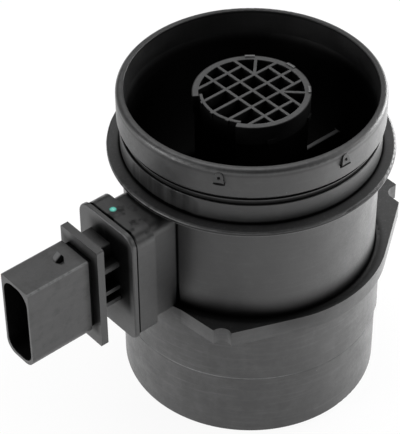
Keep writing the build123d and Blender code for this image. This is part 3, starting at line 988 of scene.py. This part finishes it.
class Growth(Graph):
    """A geometry tree with named sizes, whose result becomes a plain mesh."""

    def __init__(self, name: str, sizes: dict[str, float]) -> None:
        """Starts the tree.

        Args:
            name: Name of the tree and of the piece.
            sizes: Named inputs and their values.
        """
        super().__init__(bpy.data.node_groups.new(name, "GeometryNodeTree"))
        self.name = name
        self.values: dict[str, float] = {}
        for label, value in sizes.items():
            kind = {"in_out": "INPUT", "socket_type": "NodeSocketFloat"}
            socket = self.tree.interface.new_socket(label, **kind)
            self.values[socket.identifier] = value
        kind = {"in_out": "OUTPUT", "socket_type": "NodeSocketGeometry"}
        self.tree.interface.new_socket("Geometry", **kind)
        self.start = self.node("NodeGroupInput")

    def size(self, label: str) -> Signal:
        """One named input as a signal."""
        return self.out(self.start, label)

    def unevenness(self, grain: float) -> Signal:
        """Noise from 0 to 1 along the path, turned by the input named Seed.

        Args:
            grain: Length of one cloud in metres.

        Returns:
            The noise.
        """
        place = self.node("GeometryNodeInputPosition").outputs[0]
        inputs = {"Vector": place, "W": self.size("Seed"), "Scale": 1.0 / grain, "Detail": 3.0}
        made = self.node("ShaderNodeTexNoise", {"noise_dimensions": "4D"}, inputs)
        return self.out(made, 0)

    def tube(self, path: bpy.types.NodeSocket, thickness: Signal, sides: int) -> Any:
        """Closed tube along a path.

        Args:
            path: The curve.
            thickness: Radius of the tube, which may vary along the path.
            sides: Number of faces round it.

        Returns:
            The mesh's socket.
        """
        inputs = {"Curve": path, "Radius": thickness}
        path = self.node("GeometryNodeSetCurveRadius", None, inputs).outputs[0]
        inputs = {"Resolution": sides, "Radius": 1.0}
        profile = self.node("GeometryNodeCurvePrimitiveCircle", None, inputs).outputs[0]
        inputs = {"Curve": path, "Profile Curve": profile}
        made = self.node("GeometryNodeCurveToMesh", None, inputs)
        if "Scale" in made.inputs:
            radius = self.node("GeometryNodeInputRadius").outputs[0]
            self.feed(made.inputs["Scale"], radius)
        smooth = self.node("GeometryNodeSetShadeSmooth", None, {"Geometry": made.outputs[0]})
        return smooth.outputs[0]

    def grow(self, geometry: Any, material: bpy.types.Material) -> bpy.types.Object:
        """Evaluates the tree once.

        Args:
            geometry: The socket of the finished shape.
            material: Material of the piece.

        Returns:
            A plain mesh object, which isn't in the scene's tree of parts yet.
        """
        real = self.node("GeometryNodeRealizeInstances", None, {"Geometry": geometry})
        inputs = {"Geometry": real.outputs[0], "Material": material}
        painted = self.node("GeometryNodeSetMaterial", None, inputs)
        self.node("NodeGroupOutput", None, {"Geometry": painted.outputs[0]})
        piece = put(self.name, bpy.data.meshes.new(self.name))
        modifier = piece.modifiers.new("growth", "NODES")
        modifier.node_group = self.tree
        for identifier, value in self.values.items():
            modifier[identifier] = value
        graph = bpy.context.evaluated_depsgraph_get()
        mesh = bpy.data.meshes.new_from_object(piece.evaluated_get(graph))
        piece.modifiers.remove(modifier)
        piece.data = mesh
        return piece


@dataclass
class SeamBead:
    """Bead of sealant in the groove behind the plug's cover plate, in metres.

    Attributes:
        paints: The materials.
        place: Place of the groove's middle along X.
        half: Half the width of the bead's path.
        low: Height of the path's lower run.
        high: Height of its upper run.
        round_high: Radius of its upper corners.
        round_low: Radius of its lower corners.
        radius: Radius of the bead.
        grain: Length of its unevenness.
        step: Distance between the path's points.
        sides: Number of faces round the bead.
        corner_steps: Number of points in each corner.
        seed: Turns its unevenness.
    """

    paints: Paintbox
    place: float = -62.3 * MM
    half: float = 13.45 * MM
    low: float = 52.5 * MM
    high: float = 96.3 * MM
    round_high: float = 4.2 * MM
    round_low: float = 2.2 * MM
    radius: float = 0.27 * MM
    grain: float = 3.0 * MM
    step: float = 1.2 * MM
    sides: int = 8
    corner_steps: int = 10
    seed: float = 4.0

    def build(self) -> bpy.types.Object:
        """Lays the bead.

        Returns:
            The finished piece.
        """
        sizes = {
            "Width": 2.0 * self.half,
            "Height": self.high - self.low,
            "Upper Round": self.round_high,
            "Lower Round": self.round_low,
            "Bead Radius": self.radius,
            "Seed": self.seed,
        }
        growth = Growth("seam_bead", sizes)
        inputs = {"Width": growth.size("Width"), "Height": growth.size("Height")}
        box = growth.node("GeometryNodeCurvePrimitiveQuadrilateral", None, inputs)
        place = growth.node("GeometryNodeInputPosition").outputs[0]
        upper = growth.out(growth.node("ShaderNodeSeparateXYZ", None, {0: place}), 1).ramp(0.0, MM)
        corner = growth.size("Upper Round") * upper + growth.size("Lower Round") * (1.0 - upper)
        inputs = {"Curve": box.outputs[0], "Radius": corner, "Count": self.corner_steps}
        rounded = growth.node("GeometryNodeFilletCurve", {"mode": "POLY"}, inputs)
        inputs = {"Curve": rounded.outputs[0], "Length": self.step}
        fine = growth.node("GeometryNodeResampleCurve", {"mode": "LENGTH"}, inputs)
        wave = growth.unevenness(self.grain)
        thickness = growth.size("Bead Radius") * (wave * 0.5 + 0.75)
        middle = (self.place, 0.0, (self.high + self.low) / 2.0)
        inputs = {"Geometry": fine.outputs[0], "Translation": middle}
        inputs["Rotation"] = (math.pi / 2.0, 0.0, math.pi / 2.0)
        stood = growth.node("GeometryNodeTransform", None, inputs)
        mesh = growth.tube(stood.outputs[0], thickness, self.sides)
        bead = growth.grow(mesh, self.paints.get(Finish.SEAL))
        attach(bead, "root")
        return bead


@dataclass
class PartingFlash:
    """Thread of flash where two halves of the mould met round the duct, in metres.

    Attributes:
        paints: The materials.
        name: Name of the piece.
        radius: Radius of the surface that it stands on.
        height: Its height up the duct.
        seed: Turns its unevenness.
        thickness: Radius of the thread where it is thickest.
        grain: Length of its unevenness.
        steps: Number of points round the duct.
        sides: Number of faces round the thread.
    """

    paints: Paintbox
    name: str
    radius: float
    height: float
    seed: float
    thickness: float = 0.09 * MM
    grain: float = 6.0 * MM
    steps: int = 420
    sides: int = 6

    def build(self) -> bpy.types.Object:
        """Lays the thread round the duct.

        Returns:
            The finished piece.
        """
        sizes = {
            "Radius": self.radius,
            "Height": self.height,
            "Thickness": self.thickness,
            "Seed": self.seed,
        }
        growth = Growth(self.name, sizes)
        inputs = {"Resolution": self.steps, "Radius": growth.size("Radius")}
        circle = growth.node("GeometryNodeCurvePrimitiveCircle", None, inputs)
        lift = growth.node("ShaderNodeCombineXYZ", None, {2: growth.size("Height")})
        inputs = {"Geometry": circle.outputs[0], "Translation": lift.outputs[0]}
        raised = growth.node("GeometryNodeTransform", None, inputs)
        wave = growth.unevenness(self.grain).ramp(0.35, 0.7)
        thickness = growth.size("Thickness") * (wave * 0.85 + 0.15)
        mesh = growth.tube(raised.outputs[0], thickness, self.sides)
        thread = growth.grow(mesh, self.paints.get(Finish.FLASH))
        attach(thread, "root")
        return thread


@dataclass
class SnapNose:
    """Bell-shaped facing of one snap nose, with the ring that an ejector pin left.

    Attributes:
        paints: The materials.
        name: Name of the piece.
        angle: Its direction from the duct's axis, in degrees from +X.
        wall: Radius of the rim band.
        low: Height of its underside.
        tall: Its height.
        half: Half its width at the bottom.
        proud: How far the bottom stands out of the band.
        proud_top: How far the top stands out.
        sunk: How far its back is sunk into the band.
        bevel: Width of the rounding round its face.
        pin: Radius of the ring that the pin left.
        wire: Radius of that ring's section.
        arch_steps: Number of edges in the arch at its top.
        pin_steps: Number of sections in the ring.
        pin_sides: Number of faces round the ring's section.
    """

    paints: Paintbox
    name: str
    angle: float
    wall: float = 46.0 * MM
    low: float = 114.95 * MM
    tall: float = 4.3 * MM
    half: float = 1.95 * MM
    proud: float = 1.05 * MM
    proud_top: float = 0.3 * MM
    sunk: float = 0.5 * MM
    bevel: float = 0.12 * MM
    pin: float = 0.5 * MM
    wire: float = 0.14 * MM
    arch_steps: int = 8
    pin_steps: int = 20
    pin_sides: int = 6

    def outline(self) -> list[tuple[float, float]]:
        """Bell-shaped outline of the face.

        Returns:
            Points sideways and upwards from the middle of the underside.
        """
        shoulder = self.half * 0.68
        start = self.tall - shoulder
        arch = []
        for step in range(self.arch_steps + 1):
            turn = math.pi * step / self.arch_steps
            arch.append((shoulder * math.cos(turn), start + shoulder * math.sin(turn)))
        flare = (self.half * 0.84, self.tall * 0.2)
        low = [(-self.half, 0.0), (self.half, 0.0), flare]
        return [*low, *arch, (-flare[0], flare[1])]

    def depth(self, up: float) -> float:
        """How far the face stands out of the band at a height above the underside."""
        return self.proud + (self.proud_top - self.proud) * up / self.tall

    def build(self) -> bpy.types.Object:
        """Makes the facing as one closed mesh and one closed ring.

        Returns:
            The finished piece.
        """
        shape = bmesh.new()
        points = self.outline()
        front = [shape.verts.new((self.depth(up), side, up)) for side, up in points]
        back = [shape.verts.new((-self.sunk, side, up)) for side, up in points]
        shape.faces.new(front)
        shape.faces.new(list(reversed(back)))
        count = len(points)
        for index in range(count):
            after = (index + 1) % count
            shape.faces.new((front[index], back[index], back[after], front[after]))
        rim = [edge for edge in shape.edges if all(vertex in front for vertex in edge.verts)]
        rounding = {"offset": self.bevel, "segments": 2, "affect": "EDGES", "profile": 0.5}
        bmesh.ops.bevel(shape, geom=rim, **rounding)
        self.add_ring(shape)
        bmesh.ops.recalc_face_normals(shape, faces=shape.faces)
        turn = Matrix.Rotation(math.radians(self.angle), 4, "Z")
        shape.transform(turn @ Matrix.Translation((self.wall, 0.0, self.low)))
        mesh = bpy.data.meshes.new(self.name)
        shape.to_mesh(mesh)
        shape.free()
        mesh.materials.append(self.paints.get(Finish.HOUSING))
        nose = put(self.name, mesh)
        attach(nose, "root")
        return nose

    def add_ring(self, shape: bmesh.types.BMesh) -> None:
        """Adds the pin's small raised ring in the middle of the sloping face.

        Args:
            shape: The mesh to add to.
        """
        loops = []
        for step in range(self.pin_steps):
            turn = 2.0 * math.pi * step / self.pin_steps
            loop = []
            for corner in range(self.pin_sides):
                lean = 2.0 * math.pi * corner / self.pin_sides
                reach = self.pin + self.wire * math.cos(lean)
                high = self.tall * 0.5 + reach * math.sin(turn)
                out = self.depth(high) + self.wire * math.sin(lean)
                loop.append(shape.verts.new((out, reach * math.cos(turn), high)))
            loops.append(loop)
        for step in range(self.pin_steps):
            first, second = loops[step], loops[(step + 1) % self.pin_steps]
            for corner in range(self.pin_sides):
                after = (corner + 1) % self.pin_sides
                shape.faces.new((first[corner], second[corner], second[after], first[after]))


# ---- Studio ------------------------------------------------------------------------------


@dataclass(frozen=True)
class Softbox:
    """Square lamp.

    Attributes:
        name: Its name.
        place: Its middle in metres.
        size: Length of its sides in metres.
        power: Its power in watts.
    """

    name: str
    place: tuple[float, float, float]
    size: float
    power: float

    def build(self, aim: Sequence[float]) -> None:
        """Hangs the lamp.

        Args:
            aim: The point that it faces, in metres.
        """
        data = bpy.data.lights.new(self.name, "AREA")
        data.size = self.size
        data.energy = self.power
        lamp = put(self.name, data)
        lamp.location = self.place
        line = Vector(aim) - Vector(self.place)
        lamp.rotation_euler = line.to_track_quat("-Z", "Y").to_euler()


@dataclass
class Studio:
    """Camera, lamps and a pale floor without an edge in view.

    Attributes:
        eye: Place of the camera in metres.
        heading: Direction of view over the floor, clockwise from +Y, in degrees.
        pitch: Angle of view below the horizon in degrees.
        roll: Turn of the picture in degrees.
        focal: Focal length in pixels of the picture.
        picture: Width and height of the picture in pixels.
        sensor: Width of the camera's sensor in millimetres.
        floor_radius: Radius of the floor in metres.
        even_glow: How far above white reflections see the floor, all but its -X side.
        front_glow: What is added to that on the -Y side.
        side_glow: What is added to it on the +X side.
        world_light: Strength of the even light from all sides.
        aim: The point that the lamps face, in metres.
        lamps: A softbox on each side, one above and a weak one in front.
    """

    eye: tuple[float, float, float] = (-0.3466, -0.3824, 0.5090)
    heading: float = 40.21
    pitch: float = 40.91
    roll: float = -0.59
    focal: float = 1916.44
    picture: tuple[int, int] = (400, 434)
    sensor: float = 36.0
    floor_radius: float = 6.0
    even_glow: float = 0.35
    front_glow: float = 0.6
    side_glow: float = 1.6
    world_light: float = 0.12
    aim: tuple[float, float, float] = (-0.01, 0.0, 0.06)
    lamps: tuple[Softbox, ...] = (
        Softbox("softbox_right", (0.66, -0.10, 0.16), size=0.4, power=9.0),
        Softbox("softbox_left", (-0.60, 0.20, 0.16), size=0.35, power=4.0),
        Softbox("softbox_top", (0.22, 0.30, 1.10), size=0.9, power=9.0),
        Softbox("softbox_front", (0.50, -0.64, 0.60), size=0.35, power=2.5),
    )

    def build(self) -> None:
        """Builds the whole studio."""
        self.add_camera()
        self.add_world()
        self.add_floor()
        for lamp in self.lamps:
            lamp.build(self.aim)
        bpy.context.scene.view_settings.view_transform = "Standard"

    def add_camera(self) -> None:
        """Adds the camera."""
        heading = math.radians(self.heading)
        pitch = math.radians(self.pitch)
        roll = math.radians(self.roll)
        over = Vector((math.sin(heading), math.cos(heading), 0.0))
        forward = over * math.cos(pitch) - Vector((0.0, 0.0, math.sin(pitch)))
        level = Vector((math.cos(heading), -math.sin(heading), 0.0))
        above = level.cross(forward)
        right = level * math.cos(roll) + above * math.sin(roll)
        up = above * math.cos(roll) - level * math.sin(roll)
        data = bpy.data.cameras.new("camera")
        data.sensor_width = self.sensor
        data.sensor_fit = "AUTO"
        data.lens = self.focal * self.sensor / max(self.picture)
        data.clip_start = 0.01
        data.clip_end = 50.0
        camera = put("camera", data)
        turn = Matrix((right, up, -forward)).transposed().to_4x4()
        camera.matrix_world = Matrix.Translation(Vector(self.eye)) @ turn
        bpy.context.scene.camera = camera

    def add_world(self) -> None:
        """Adds even light, and white behind the floor's edge."""
        world = bpy.data.worlds.new("studio")
        world.use_nodes = True
        graph = Graph(world.node_tree)
        world.node_tree.nodes.clear()
        path = graph.node("ShaderNodeLightPath")
        seen = graph.out(path, "Is Camera Ray")
        strength = seen + (1.0 - seen) * self.world_light
        inputs = {"Color": (1.0, 1.0, 1.0), "Strength": strength}
        light = graph.node("ShaderNodeBackground", None, inputs)
        graph.node("ShaderNodeOutputWorld", None, {"Surface": light.outputs[0]})
        bpy.context.scene.world = world

    def add_floor(self) -> None:
        """Adds the floor, white to the eye and in reflections, which keeps a soft shadow."""
        sheet = bmesh.new()
        bmesh.ops.create_circle(sheet, cap_ends=True, radius=self.floor_radius, segments=96)
        data = bpy.data.meshes.new("floor")
        sheet.to_mesh(data)
        sheet.free()
        floor = put("floor", data)
        material = bpy.data.materials.new("floor_paper")
        material.use_nodes = True
        graph = Graph(material.node_tree)
        material.node_tree.nodes.clear()
        path = graph.node("ShaderNodeLightPath")
        mirrored = graph.out(path, "Is Glossy Ray").most(graph.out(path, "Is Transmission Ray"))
        seen = graph.out(path, "Is Camera Ray").most(mirrored)
        place = graph.node("ShaderNodeTexCoord").outputs["Object"]
        split = graph.node("ShaderNodeSeparateXYZ", None, {0: place})
        side = graph.out(split, 0).ramp(-0.05, 0.14) * self.side_glow
        front = graph.out(split, 1).ramp(-0.04, -0.12) * self.front_glow
        even = graph.out(split, 0).ramp(-0.24, -0.06) * self.even_glow
        lit = 1.0 + mirrored * (even + side + front)
        across = graph.out(split, 0) ** 2.0 + graph.out(split, 1) ** 2.0
        bare = 0.92 + across.ramp(0.02, 0.3) * 0.08
        paper = graph.node("ShaderNodeBsdfDiffuse", None, {"Color": (0.86, 0.86, 0.86)})
        glow = graph.node("ShaderNodeEmission", None, {"Strength": lit})
        inputs = {0: seen * bare, 1: paper.outputs[0], 2: glow.outputs[0]}
        mixed = graph.node("ShaderNodeMixShader", None, inputs)
        graph.node("ShaderNodeOutputMaterial", None, {"Surface": mixed.outputs[0]})
        data.materials.append(material)


def main() -> None:
    """Builds the studio and dresses the air meter."""
    logging.basicConfig(level=logging.INFO, format="%(name)s: %(message)s")
    Studio().build()
    paints = Paintbox()
    Dresser(paints).dress()
    pieces = [
        SeamBead(paints),
        PartingFlash(paints, "collar_flash", radius=49.75 * MM, height=97.3 * MM, seed=2.0),
        PartingFlash(paints, "skirt_flash", radius=46.85 * MM, height=27.1 * MM, seed=5.0),
        *(SnapNose(paints, name, angle) for name, angle in NOSE_ANGLES.items()),
    ]
    for piece in pieces:
        LOG.info("%s laid", piece.build().name)


if __name__ == "__main__":
    main()
